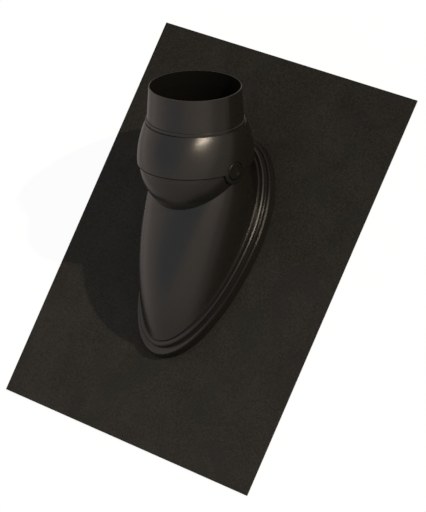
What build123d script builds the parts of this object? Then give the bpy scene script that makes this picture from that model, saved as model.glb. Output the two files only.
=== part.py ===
"""Roof penetration tile: a flashing sheet, a moulded base and a hood that swivels to suit the roof's pitch.

Millimetres. The sheet lies flat on Z = 0, +Y points up the roof and +X is level along the roof.
"""

import math
import os

from build123d import *

# Flashing sheet
sheet_width = 500.0
sheet_length = 600.0
sheet_thickness = 2.0

# Oval plinth on the sheet: widest on the line Y = plinth_widest_y, in three steps
plinth_widest_y = 30.0
plinth_half_width = 96.8
plinth_uphill = 144.0
plinth_downhill = 199.0
flange_height = 12.0
flange_draft = 1.6
flange_edge = 1.6
step_height = 7.0
step_side = 7.5
step_uphill = 6.0
step_downhill = 12.5
step_draft = 1.2
step_edge = 1.4
curb_height = 2.5
curb_side = 15.0
curb_uphill = 13.5
curb_downhill = 20.0
curb_draft = 0.6
curb_edge = 0.8

# Oval ball: round about the level swivel axis, narrower along it
ball_y = 111.4
ball_height = 97.5
ball_radius = 84.4
ball_half_width = 76.8
base_wall = 3.0

# Leaning tube from the plinth to the ball
foot_inset = 2.0
foot_uphill = 112.0
tube_top_tilt = 17.0
tube_top_drop = 12.0
tube_top_half_width = 74.8
tube_top_half_length = 82.4
tube_bulge_side = 1.0
tube_bulge_front = 19.0
tube_hollow_back = 8.0
ball_mouth_tilt = 37.5
ball_mouth_height = 26.0

# Trunnions of the base in the hood's lugs
trunnion_radius = 12.9
trunnion_sink = 0.2
trunnion_recess_radius = 8.6
trunnion_recess_depth = 1.6
trunnion_edge = 1.1
trunnion_clearance = 0.3
lug_radius = 20.0

# Hood: an oval dome over the ball, with a ledge and a round collar about the pipe's axis
roof_pitch = 55.0
hood_clearance = 0.6
hood_wall = 2.3
hood_side_rise = 123.0
hood_front_rise = 100.0
hood_skirt = 3.4
dome_sections = 6
hood_edge = 0.7
ledge_bottom = 55.3
ledge_height = 4.7
ledge_radius = 70.8
collar_foot_radius = 69.0
collar_rim_radius = 66.0
collar_bore_radius = 64.0
collar_rim_height = 107.6
collar_land = 20.0

sheet_clearance = 0.4

# Places worked out from the sizes above
plinth_floor = sheet_thickness
flange_top = plinth_floor + flange_height
step_top = flange_top + step_height
curb_top = step_top + curb_height
flange_inset = flange_draft + base_wall
step_inset = step_draft + base_wall
ball_centre = Vector(0, ball_y, plinth_floor + ball_height)
foot_half_width = plinth_half_width - curb_side - foot_inset
foot_downhill = plinth_downhill - curb_downhill - foot_inset
hood_half_width = ball_half_width + hood_clearance + hood_wall
hood_half_depth = ball_radius + hood_clearance + hood_wall
hood_reach = 2 * hood_half_depth
trunnion_reach = hood_half_width - trunnion_sink
trunnion_hollow_reach = trunnion_reach - trunnion_recess_depth - base_wall
ledge_top = ledge_bottom + ledge_height
throat_radius = collar_foot_radius - hood_wall


def leaning(angle):
    """Unit vector in the plane across the roof, leaning uphill from the sheet's normal."""
    return Vector(0, math.sin(math.radians(angle)), math.cos(math.radians(angle)))


def egg(centre_y, half_width, uphill, downhill):
    """Face of two half ellipses that share one widest line."""
    with BuildLine() as outline:
        EllipticalCenterArc((0, centre_y), half_width, uphill, arc_size=180)
        EllipticalCenterArc((0, centre_y), half_width, downhill, start_angle=180, arc_size=180)
    make_face(outline.edges())


def plinth_egg(side, uphill, downhill):
    """Egg that lies inside the plinth's outline by the given distances."""
    egg(plinth_widest_y, plinth_half_width - side, plinth_uphill - uphill, plinth_downhill - downhill)


def foot_egg(inset):
    """Egg of the tube's foot, taken in by a further inset."""
    egg(plinth_widest_y, foot_half_width - inset, foot_uphill - inset, foot_downhill - inset)


def leaning_tube(inset):
    """Tube from its foot through a fuller middle section to an oval one inside the ball."""
    middle_half_width = (foot_half_width + tube_top_half_width) / 2 + tube_bulge_side
    middle_uphill = (foot_uphill + tube_top_half_length) / 2 - tube_hollow_back
    middle_downhill = (foot_downhill + tube_top_half_length) / 2 + tube_bulge_front
    with BuildSketch(Plane.XY.offset(curb_top)) as foot:
        foot_egg(inset)
    with BuildSketch(tube_middle) as middle:
        egg(0, middle_half_width - inset, middle_uphill - inset, middle_downhill - inset)
    with BuildSketch(tube_top) as top:
        egg(0, tube_top_half_width - inset, tube_top_half_length - inset, tube_top_half_length - inset)
    loft(sections=[foot.sketch, middle.sketch, top.sketch])


def plinth_stage(floor, top, side, uphill, downhill, draft, edge):
    """One stage of the plinth: a drafted wall with a bevelled top edge."""
    sections = []
    for level, inset in ((floor, 0), (top - edge, draft), (top, draft + edge)):
        with BuildSketch(Plane.XY.offset(level)) as section:
            plinth_egg(side + inset, uphill + inset, downhill + inset)
        sections.append(section.sketch)
    loft(sections=sections, ruled=True)


def oval_ball(inset):
    """Half an ellipse, pointing down the tube, turned about the swivel axis."""
    half_width = ball_half_width - inset
    with BuildSketch(swivel_section) as section:
        with BuildLine() as outline:
            EllipticalCenterArc((0, 0), half_width, ball_radius - inset, arc_size=180)
            Line((-half_width, 0), (half_width, 0))
        make_face(outline.edges())
    revolve(section.sketch, axis=swivel_axis)


def oval_dome(inset, top):
    """Dome from the foot of the lugs to a level top, narrowing upwards along one ellipse at the sides and another
    at the front."""
    sections = []
    for section_number in range(dome_sections):
        height = (top + lug_radius) * section_number / (dome_sections - 1) - lug_radius
        width_left = math.sqrt(1 - (height / (hood_side_rise - inset)) ** 2)
        depth_left = math.sqrt(1 - (height / (hood_front_rise - inset)) ** 2)
        with BuildSketch(hood_plane.offset(height)) as section:
            Ellipse((hood_half_width - inset) * width_left, (hood_half_depth - inset) * depth_left)
        sections.append(section.sketch)
    loft(sections=sections)


tube_top = Plane(
    origin=ball_centre - leaning(tube_top_tilt) * tube_top_drop,
    x_dir=(1, 0, 0),
    z_dir=leaning(tube_top_tilt),
)
tube_middle = Plane(
    origin=(tube_top.origin + Vector(0, plinth_widest_y, curb_top)) / 2,
    x_dir=(1, 0, 0),
    z_dir=leaning(tube_top_tilt / 2),
)
ball_mouth = Plane(
    origin=ball_centre + leaning(ball_mouth_tilt) * ball_mouth_height,
    x_dir=(1, 0, 0),
    z_dir=leaning(ball_mouth_tilt),
)
hood_plane = Plane(origin=ball_centre, x_dir=(1, 0, 0), z_dir=leaning(roof_pitch))
hood_section = Plane(origin=ball_centre, x_dir=(1, 0, 0), z_dir=leaning(roof_pitch - 90))
hood_axis = Axis(origin=ball_centre, direction=leaning(roof_pitch))
swivel_section = Plane(origin=ball_centre, x_dir=(1, 0, 0), z_dir=leaning(tube_top_tilt + 90))
swivel_axis = Axis(origin=ball_centre, direction=(1, 0, 0))
across = Location(ball_centre, (0, 90, 0))

# Flashing sheet with the opening that the base's inner wall passes through
with BuildPart() as flashing_sheet:
    with BuildSketch():
        Rectangle(sheet_width, sheet_length)
    extrude(amount=sheet_thickness)
    with BuildSketch():
        foot_egg(-sheet_clearance)
    extrude(amount=sheet_thickness, mode=Mode.SUBTRACT)

# Space inside the base: tube, ball, the hollow trunnions and the way out through the sheet
with BuildPart() as base_space:
    with BuildSketch():
        foot_egg(base_wall)
    extrude(amount=curb_top)
    leaning_tube(base_wall)
    oval_ball(base_wall)
    with Locations(across):
        Cylinder(trunnion_radius - base_wall, 2 * trunnion_hollow_reach)

# Channel under the plinth, between its outer wall and the tube's foot
with BuildPart() as plinth_channel:
    with BuildSketch():
        plinth_egg(flange_inset, flange_inset, flange_inset)
    extrude(amount=flange_top - base_wall)
    with BuildSketch():
        plinth_egg(step_side + step_inset, step_uphill + step_inset, step_downhill + step_inset)
    extrude(amount=step_top - base_wall)
    with BuildSketch():
        foot_egg(0)
    extrude(amount=step_top, mode=Mode.SUBTRACT)

# Trunnions: one bar across the ball, dished at both ends, that the space inside the base cuts in two
with BuildPart() as trunnions:
    with Locations(across):
        Cylinder(trunnion_radius, 2 * trunnion_reach)
    chamfer(edges().filter_by(GeomType.CIRCLE), trunnion_edge)
    for end in (-1, 1):
        with Locations(across * Location((0, 0, end * trunnion_reach))):
            Cylinder(trunnion_recess_radius, 2 * trunnion_recess_depth, mode=Mode.SUBTRACT)

# Base moulding: stepped plinth, leaning tube, ball and trunnions
with BuildPart() as base_shell:
    plinth_stage(plinth_floor, flange_top, 0, 0, 0, flange_draft, flange_edge)
    plinth_stage(flange_top, step_top, step_side, step_uphill, step_downhill, step_draft, step_edge)
    plinth_stage(step_top, curb_top, curb_side, curb_uphill, curb_downhill, curb_draft, curb_edge)
    with BuildSketch():
        foot_egg(0)
    extrude(amount=curb_top)
    leaning_tube(0)
    oval_ball(0)
    add(trunnions.part)
    add(base_space.part, mode=Mode.SUBTRACT)
    add(plinth_channel.part, mode=Mode.SUBTRACT)
    split(bisect_by=ball_mouth, keep=Keep.BOTTOM)

# What is cut from the dome's wall below its edge, so that only a round lug about each trunnion is left
with BuildPart() as below_edge:
    with BuildSketch(hood_plane.offset(-hood_skirt)):
        Circle(hood_reach)
    extrude(amount=-hood_reach)
    with Locations(across):
        Cylinder(lug_radius, 2 * hood_reach, mode=Mode.SUBTRACT)

# Space inside the dome
with BuildPart() as dome_space:
    oval_dome(hood_wall, ledge_bottom - hood_wall)

# Hood: dome with its lugs, then the ledge and the collar in one turned section
with BuildPart() as swivel_hood:
    oval_dome(0, ledge_bottom)
    add(dome_space.part, mode=Mode.SUBTRACT)
    add(below_edge.part, mode=Mode.SUBTRACT)
    with BuildSketch(hood_plane):
        Circle(throat_radius)
    extrude(amount=ledge_bottom, mode=Mode.SUBTRACT)
    with BuildSketch(hood_section):
        with BuildLine():
            Polyline(
                (ledge_radius, ledge_bottom - hood_wall),
                (ledge_radius, ledge_top),
                (collar_foot_radius, ledge_top),
                (collar_rim_radius, collar_rim_height),
                (collar_bore_radius, collar_rim_height),
                (collar_bore_radius, collar_rim_height - collar_land),
                (throat_radius, ledge_top),
                (throat_radius, ledge_bottom - hood_wall),
                close=True,
            )
        make_face()
        rim_corners = vertices().group_by(Axis.Y)[-1]
        ledge_corner = vertices().filter_by_position(Axis.X, ledge_radius, ledge_radius).sort_by(Axis.Y)[-1]
        chamfer([*rim_corners, ledge_corner], hood_edge)
    revolve(axis=hood_axis)
    with Locations(across):
        Cylinder(trunnion_radius + trunnion_clearance, 2 * hood_reach, mode=Mode.SUBTRACT)

os.makedirs("parts", exist_ok=True)
flashing_sheet.part.label = "flashing_sheet"
export_step(flashing_sheet.part, "parts/flashing_sheet.step")
base_shell.part.label = "base_shell"
export_step(base_shell.part, "parts/base_shell.step")
swivel_hood.part.label = "swivel_hood"
export_step(swivel_hood.part, "parts/swivel_hood.step")
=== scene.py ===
"""Looks of the roof penetration tile: finishes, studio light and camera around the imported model. Metres."""

import math

import bpy
from mathutils import Matrix, Vector


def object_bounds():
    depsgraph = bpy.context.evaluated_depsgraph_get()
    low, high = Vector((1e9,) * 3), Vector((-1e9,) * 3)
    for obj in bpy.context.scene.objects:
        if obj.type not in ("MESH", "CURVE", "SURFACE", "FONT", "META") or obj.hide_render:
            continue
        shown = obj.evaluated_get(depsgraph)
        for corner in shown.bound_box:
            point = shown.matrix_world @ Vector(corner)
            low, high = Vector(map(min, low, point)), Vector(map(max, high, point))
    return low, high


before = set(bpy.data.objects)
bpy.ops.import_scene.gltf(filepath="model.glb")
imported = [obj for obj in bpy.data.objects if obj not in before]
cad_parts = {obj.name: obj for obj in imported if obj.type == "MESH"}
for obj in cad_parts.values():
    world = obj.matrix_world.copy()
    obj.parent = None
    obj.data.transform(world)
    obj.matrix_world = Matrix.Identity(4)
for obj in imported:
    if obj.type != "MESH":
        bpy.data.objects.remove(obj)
cad_low, cad_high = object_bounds()

# The sheet's directions, and those of the roof, on whose pitch the collar stands plumb
sheet_uphill = Vector((0, 1, 0))
sheet_outward = Vector((0, 0, 1))
roof_pitch = math.radians(55.0)
plumb = Vector((0, math.sin(roof_pitch), math.cos(roof_pitch)))
level_side = Vector((1, 0, 0))
level_uphill = plumb.cross(level_side)
ball_centre = Vector((0, 0.1114, 0.0995))

# Hood: the places of its painted shadow lines
lug_radius = 0.020
hole_radius = 0.0132
hood_skirt = 0.0034
line_width = 0.0012

# Base: the heights of its plinth's bevels and top, the radii of its trunnions' bevels, and how much painted
# shade darkens and dulls them
flange_bevel = (0.0122, 0.0140)
step_bevel = (0.0194, 0.0210)
curb_bevel = (0.0224, 0.0235)
plinth_top = 0.0237
trunnion_bevel = (0.0115, 0.0131)
bevel_blur = 0.0002
bevel_shade = 0.75
step_shade = 0.35

# Colours of the sheet and of the mouldings
sheet_dark = (0.0125, 0.0113, 0.0093, 1.0)
sheet_light = (0.0300, 0.0274, 0.0230, 1.0)
sheet_plum = (0.0195, 0.0166, 0.0163, 1.0)
sheet_moss = (0.0176, 0.0180, 0.0150, 1.0)
moulding_dark = (0.0062, 0.0057, 0.0045, 1.0)
moulding_light = (0.0090, 0.0083, 0.0066, 1.0)
# Painted shade: the dark colour of the moulding inside the pipe and on its shadow lines and bevels
moulding_in_shade = (0.0042, 0.0038, 0.0031, 1.0)

# Middles of a raw noise and of a blend of two colours
noise_middle = 0.5
even_blend = 0.5

# Sheet: cells to the metre, how far each noise moves the tone, the tints' ends, and the surface
grain_cells = 340.0
mottle_cells = 14.0
tint_cells = 9.0
grain_contrast = 2.1
mottle_contrast = 0.7
# Painted shade on the sheet: how much darker it is drawn uphill
uphill_shade = 0.7
plum_ends = (0.03, 0.20)
moss_ends = (-0.05, -0.20)
tint_strength = 0.45
sheet_bump = 0.3
sheet_bump_depth = 0.0004
sheet_roughness = 0.84
grain_roughening = 0.2
sheet_specular = 0.06

# Mouldings: cells to the metre, how far each noise moves the tone and the gloss, and the surface
texture_cells = 1500.0
wave_cells = 17.0
patch_cells = 38.0
patch_contrast = 0.6
texture_contrast = 0.3
moulding_bump = 0.06
moulding_bump_depth = 0.0002
satin_roughness = 0.27
patch_roughening = 0.05
texture_roughening = 0.03
satin_specular = 0.42
# Painted shade: the dark, dull surface inside the pipe and on the shadow lines and bevels, and the ends of
# the inward facing that bring it in
shade_roughness = 0.9
shade_specular = 0.03
inward_ends = (-0.010, -0.015)

# Camera: seen from the side and from below the tile, with a long lens
camera_bearing = math.radians(44.97)
camera_rise = math.radians(22.73)
camera_roll = math.radians(-0.47)
camera_distance = 4.4556
camera_target = Vector((0.0177, -0.0045, 0.0))
camera_lens = 217.5
camera_sensor = 36.0
camera_reach = 50.0

# Light: a low warm key from the right and uphill, a softbox that only shows in the gloss, and a pale surround
key_toward = Vector((0.785, 0.42, 0.456))
key_strength = 2.7
key_colour = (1.0, 0.86, 0.68)
key_spread = math.radians(0.8)
softbox_aim = Vector((0.055, 0.135, 0.165))
softbox_toward = Vector((0.86, 0.06, 0.505))
softbox_distance = 0.8
softbox_width = 0.50
softbox_height = 0.02
softbox_spread = math.radians(36.0)
softbox_power = 0.27
softbox_colour = (1.0, 0.84, 0.66)
surround_light = (0.62, 0.64, 0.66, 1.0)

# What the gloss shows of the surround: warm, cooler over the downhill side, darker towards the ground
surround_white = (1.0, 1.0, 1.0, 1.0)
surround_warm = (0.88, 0.75, 0.68, 1.0)
surround_cool = (0.52, 0.57, 0.66, 1.0)
surround_ground = (0.60, 0.51, 0.46, 1.0)
cool_toward = Vector((-0.10, -0.35, 0.93))
cool_edge = math.cos(math.radians(46.0))
cool_middle = math.cos(math.radians(12.0))
ground_dark = -0.66
ground_light = -0.36

# Floor: just under the sheet, white to the eye outside it and dimmer in the gloss, and it keeps a soft shadow
floor_half_size = 6.0
floor_gap = 0.0003
floor_colour = (0.86, 0.86, 0.86, 1.0)
floor_glow = 1.02
floor_glow_share = 0.9
floor_in_gloss = (0.42, 0.37, 0.35, 1.0)


class Socket:
    """One output in a node tree. Operators on values add Math nodes, and node() adds any other node."""

    def __init__(self, tree, output=None):
        self.tree = tree
        self.output = output

    def node(self, kind, settings=None, sockets=None, output=0):
        """Adds a node: its settings first, then the values or links of its sockets."""
        made = self.tree.nodes.new("ShaderNode" + kind)
        for name, value in (settings or {}).items():
            setattr(made, name, value)
        for name, value in (sockets or {}).items():
            if isinstance(value, Socket):
                self.tree.links.new(value.output, made.inputs[name])
            else:
                made.inputs[name].default_value = value
        return Socket(self.tree, made.outputs[output] if made.outputs else None)

    def maths(self, operation, *values):
        return self.node("Math", {"operation": operation}, dict(enumerate(values)))

    def __add__(self, other):
        return self.maths("ADD", self, other)

    def __radd__(self, other):
        return self.maths("ADD", other, self)

    def __sub__(self, other):
        return self.maths("SUBTRACT", self, other)

    def __rsub__(self, other):
        return self.maths("SUBTRACT", other, self)

    def __mul__(self, other):
        return self.maths("MULTIPLY", self, other)

    def __rmul__(self, other):
        return self.maths("MULTIPLY", other, self)

    def __abs__(self):
        return self.maths("ABSOLUTE", self)

    def at_least(self, other):
        return self.maths("MAXIMUM", self, other)

    def above(self, limit):
        """1 above a limit and 0 elsewhere."""
        return self.maths("GREATER_THAN", self, limit)

    def smooth(self, start, end):
        """A smooth step from 0 at the start to 1 at the end. The start may be the larger of the two."""
        ends = {"Value": self, "From Min": start, "From Max": end}
        return self.node("MapRange", {"interpolation_type": "SMOOTHSTEP"}, ends)

    def between(self, low, high, blur):
        """1 from low to high and 0 outside, with a blur at both ends."""
        return self.smooth(low, low + blur) * self.smooth(high, high - blur)

    def blend(self, first, second):
        """Colour between two, by this share from 0 to 1. The numbers are the Mix node's colour sockets."""
        settings = {"data_type": "RGBA", "clamp_factor": True}
        return self.node("Mix", settings, {0: self, 6: first, 7: second}, output=2)

    def dot(self, other):
        """Dot product of two vectors."""
        return self.node("VectorMath", {"operation": "DOT_PRODUCT"}, {0: self, 1: other}, output="Value")

    def seen_from(self, point):
        """This place as seen from a point."""
        return self.node("VectorMath", {"operation": "SUBTRACT"}, {0: self, 1: point})

    def noise(self, cells, detail, roughness=0.5, distortion=0.0):
        """Noise over a place, about zero, from about -0.5 to 0.5, at so many cells to the metre."""
        sockets = {
            "Vector": self,
            "Scale": cells,
            "Detail": detail,
            "Roughness": roughness,
            "Distortion": distortion,
        }
        return self.node("TexNoise", {"noise_dimensions": "3D"}, sockets) - noise_middle


def new_material(name):
    """An empty material and the wrapper of its tree."""
    material = bpy.data.materials.new(name)
    material.use_nodes = True
    material.node_tree.nodes.clear()
    return material, Socket(material.node_tree)


def show_surface(tree, surface):
    """Links a surface to the material's output."""
    tree.node("OutputMaterial", {}, {"Surface": surface})


def sheet_finish():
    """Grained flashing sheet: fine grain over faint mottling in two tints, dull, with painted shade that
    makes it a little darker uphill.
    """
    material, tree = new_material("flashing_sheet_grain")
    place = tree.node("TexCoord", output="Object")
    grain = place.noise(grain_cells, detail=2.0, roughness=0.7)
    mottle = place.noise(mottle_cells, detail=2.0, distortion=0.8)
    tint = place.noise(tint_cells, detail=1.0, distortion=1.2)
    tone = even_blend + grain * grain_contrast + mottle * mottle_contrast
    # Painted shade: the sheet's tone falls off uphill
    tone = tone - place.dot(sheet_uphill) * uphill_shade
    colour = tone.blend(sheet_dark, sheet_light)
    for ends, tint_colour in ((plum_ends, sheet_plum), (moss_ends, sheet_moss)):
        colour = (tint.smooth(*ends) * tint_strength).blend(colour, tint_colour)
    bump = {"Strength": sheet_bump, "Distance": sheet_bump_depth, "Height": grain}
    show_surface(tree, tree.node("BsdfPrincipled", {}, {
        "Base Color": colour,
        "Roughness": sheet_roughness + grain * grain_roughening,
        "Specular IOR Level": sheet_specular,
        "Normal": tree.node("Bump", {}, bump),
    }))
    return material


def inner_shade(place):
    """1 on the walls above the plinth that face the pipe's axis, where painted shade darkens the inside."""
    normal = place.node("TexCoord", output="Normal")
    arm = place.seen_from(ball_centre)
    outward = normal.dot(arm) - arm.dot(plumb) * normal.dot(plumb)
    height = place.dot(sheet_outward)
    return outward.smooth(*inward_ends) * height.smooth(plinth_top, plinth_top + bevel_blur)


def swivel_square(place):
    """Square of the distance from the swivel axis."""
    arm = place.seen_from(ball_centre)
    across = arm.dot(level_side)
    return arm.dot(arm) - across * across


def base_shade_lines(place):
    """Share of painted shade on the base's bevels: the plinth's three, the middle one less, and the
    trunnions' edges.
    """
    height = place.dot(sheet_outward)
    inner_square, outer_square = [radius ** 2 for radius in trunnion_bevel]
    share = swivel_square(place).between(inner_square, outer_square, bevel_blur ** 2)
    for low, high in (flange_bevel, curb_bevel):
        share = share.at_least(height.between(low, high, bevel_blur))
    return (share * bevel_shade).at_least(height.between(*step_bevel, bevel_blur) * step_shade)


def hood_shadow_lines(place):
    """1 on the hood's thin painted shadow lines: along its lower edge, round its lugs and round the
    trunnions.
    """
    square = swivel_square(place)
    clear_of_lug = square.smooth((lug_radius - line_width) ** 2, (lug_radius - line_width / 2) ** 2)
    line_foot = line_width / 2 - hood_skirt
    low = place.seen_from(ball_centre).dot(plumb).smooth(line_foot + line_width, line_foot)
    ring = square.smooth((hole_radius + line_width) ** 2, (hole_radius + line_width / 2) ** 2)
    return (clear_of_lug * low).at_least(ring)


def moulded_finish(name, shade_lines):
    """Black satin moulding: fine texture, faint waves and patches of gloss, and painted shade, dark and dull,
    inside and on its shadow lines.
    """
    material, tree = new_material(name)
    place = tree.node("TexCoord", output="Object")
    texture = place.noise(texture_cells, detail=2.0)
    wave = place.noise(wave_cells, detail=1.0)
    patch = place.noise(patch_cells, detail=3.0, roughness=0.6)
    tone = even_blend + patch * patch_contrast + texture * texture_contrast
    bump = {"Strength": moulding_bump, "Distance": moulding_bump_depth, "Height": texture + wave}
    satin = tree.node("BsdfPrincipled", {}, {
        "Base Color": tone.blend(moulding_dark, moulding_light),
        "Roughness": satin_roughness + patch * patch_roughening + texture * texture_roughening,
        "Specular IOR Level": satin_specular,
        "Normal": tree.node("Bump", {}, bump),
    })
    # Painted shade: a dark, dull surface for the inside of the pipe and for the shadow lines and bevels
    painted_shade = tree.node("BsdfPrincipled", {}, {
        "Base Color": moulding_in_shade,
        "Roughness": shade_roughness,
        "Specular IOR Level": shade_specular,
    })
    share = inner_shade(place).at_least(shade_lines(place))
    show_surface(tree, tree.node("MixShader", {}, {0: share, 1: satin, 2: painted_shade}))
    return material


def dress(node, material):
    """Gives a node of the model its finish."""
    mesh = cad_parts[node].data
    mesh.materials.clear()
    mesh.materials.append(material)


def glossy_rays(tree):
    """1 for the rays that make reflections."""
    return tree.node("LightPath", output="Is Glossy Ray")


def shown_rays(tree):
    """1 for the rays that show the background: camera, glossy and transmission."""
    camera = tree.node("LightPath", output="Is Camera Ray")
    through = tree.node("LightPath", output="Is Transmission Ray")
    return camera.at_least(glossy_rays(tree)).at_least(through)


def outside_sheet(tree):
    """1 where the floor isn't under the sheet."""
    place = tree.node("TexCoord", output="Object")
    beside = abs(place.dot(level_side)).above(cad_high.x)
    beyond = abs(place.dot(sheet_uphill)).above(cad_high.y)
    return beside.at_least(beyond)


def add_object(name, data):
    """Puts a new object into the scene."""
    made = bpy.data.objects.new(name, data)
    bpy.context.scene.collection.objects.link(made)
    return made


def lay_floor():
    """Pale floor under the sheet."""
    mesh = bpy.data.meshes.new("pale_floor")
    half = floor_half_size
    corners = [(-half, -half, 0), (half, -half, 0), (half, half, 0), (-half, half, 0)]
    mesh.from_pydata(corners, [], [(0, 1, 2, 3)])
    floor = add_object("pale_floor", mesh)
    floor.location.z = cad_low.z - floor_gap
    material, tree = new_material("pale_floor")
    matt = tree.node("BsdfDiffuse", {}, {"Color": floor_colour})
    glossy = glossy_rays(tree)
    shown = glossy.blend(surround_white, floor_in_gloss)
    glow = tree.node("Emission", {}, {"Color": shown, "Strength": floor_glow})
    share = (shown_rays(tree) * floor_glow_share).at_least(glossy) * outside_sheet(tree)
    show_surface(tree, tree.node("MixShader", {}, {0: share, 1: matt, 2: glow}))
    mesh.materials.append(material)


def hang_surround():
    """Pale light from all round, seen as white, with soft zones that only show in the gloss."""
    world = bpy.data.worlds.new("pale_surround")
    world.use_nodes = True
    world.node_tree.nodes.clear()
    tree = Socket(world.node_tree)
    ray = tree.node("TexCoord", output="Generated")
    cool = ray.dot(cool_toward).smooth(cool_edge, cool_middle)
    sides = cool.blend(surround_warm, surround_cool)
    mirrored = ray.dot(plumb).smooth(ground_dark, ground_light).blend(surround_ground, sides)
    seen = glossy_rays(tree).blend(surround_white, mirrored)
    colour = shown_rays(tree).blend(surround_light, seen)
    background = tree.node("Background", {}, {"Color": colour, "Strength": 1.0})
    tree.node("OutputWorld", {}, {"Surface": background})
    bpy.context.scene.world = world


def hang_key():
    """Low warm key that throws the tile's shadow over the sheet."""
    lamp = bpy.data.lights.new("key", "SUN")
    lamp.energy = key_strength
    lamp.color = key_colour
    lamp.angle = key_spread
    key = add_object("key", lamp)
    key.rotation_mode = "QUATERNION"
    key.rotation_quaternion = key_toward.to_track_quat("Z", "Y")


def hang_softbox():
    """Level strip softbox beside the key: it gives the dome's highlight and only shows in the gloss."""
    lamp = bpy.data.lights.new("softbox", "AREA")
    lamp.shape = "RECTANGLE"
    lamp.size = softbox_width
    lamp.size_y = softbox_height
    lamp.spread = softbox_spread
    lamp.energy = softbox_power
    lamp.color = softbox_colour
    level = plumb.cross(softbox_toward).normalized()
    turn = Matrix((level, softbox_toward.cross(level), softbox_toward)).transposed()
    softbox = add_object("softbox", lamp)
    softbox.matrix_world = Matrix.Translation(softbox_aim + softbox_toward * softbox_distance) @ turn.to_4x4()
    softbox.visible_diffuse = False


def set_camera():
    """Camera set level on the sloping roof, but for a slight roll."""
    side = level_side * math.sin(camera_bearing) - level_uphill * math.cos(camera_bearing)
    back = side * math.cos(camera_rise) + plumb * math.sin(camera_rise)
    right = plumb.cross(back).normalized()
    up = back.cross(right)
    turn = Matrix((right, up, back)).transposed() @ Matrix.Rotation(camera_roll, 3, "Z")
    lens = bpy.data.cameras.new("camera")
    lens.lens = camera_lens
    lens.sensor_width = camera_sensor
    lens.clip_end = camera_reach
    camera = add_object("camera", lens)
    camera.matrix_world = Matrix.Translation(camera_target + back * camera_distance) @ turn.to_4x4()
    bpy.context.scene.camera = camera


dress("flashing_sheet", sheet_finish())
dress("base_shell", moulded_finish("base_moulding", base_shade_lines))
dress("swivel_hood", moulded_finish("hood_moulding", hood_shadow_lines))
lay_floor()
hang_surround()
hang_key()
hang_softbox()
set_camera()
bpy.context.scene.view_settings.view_transform = "Standard"
